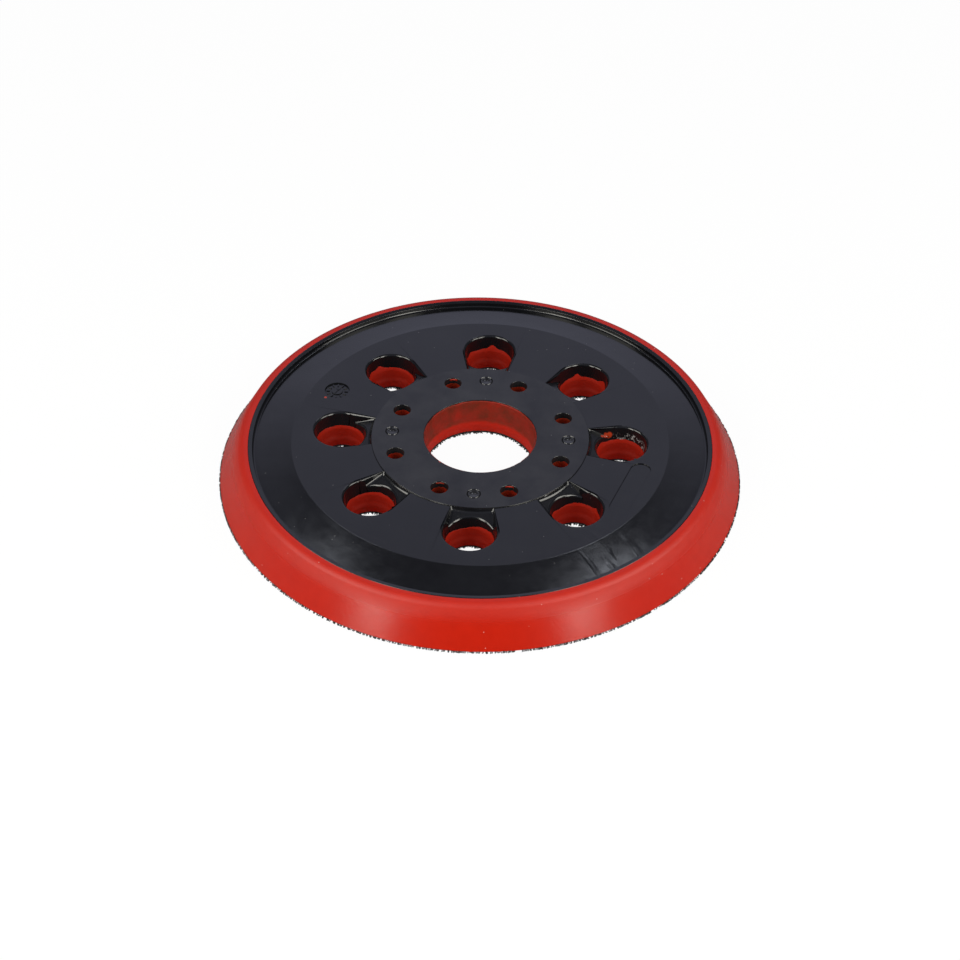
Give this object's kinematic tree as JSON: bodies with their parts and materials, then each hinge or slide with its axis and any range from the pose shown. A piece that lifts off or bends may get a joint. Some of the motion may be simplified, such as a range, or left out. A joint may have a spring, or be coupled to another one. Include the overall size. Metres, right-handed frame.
{
  "type": "backing pad of an orbital sander",
  "caption": "Round backing pad for a random orbital sander: moulded plate with dust pockets and screw holes, cast foam and a hook face that holds the abrasive disc.",
  "frame": {"origin": "on the pad's axis at the underside of the hook face", "axes": "+Z along the pad's axis, from the hook face up to the hub; +X through the middle of the first dust port"},
  "size_m": [0.125, 0.125, 0.01],
  "materials": {
    "plate_nylon": "satin black glass-filled nylon",
    "pad_foam": "satin red cast polyurethane",
    "hook_sheet": "black woven hook fastener"
  },
  "bodies": {
    "root": {"backing_plate": "plate_nylon", "foam_pad": "pad_foam", "hook_face": "hook_sheet"}
  },
  "joints": []
}
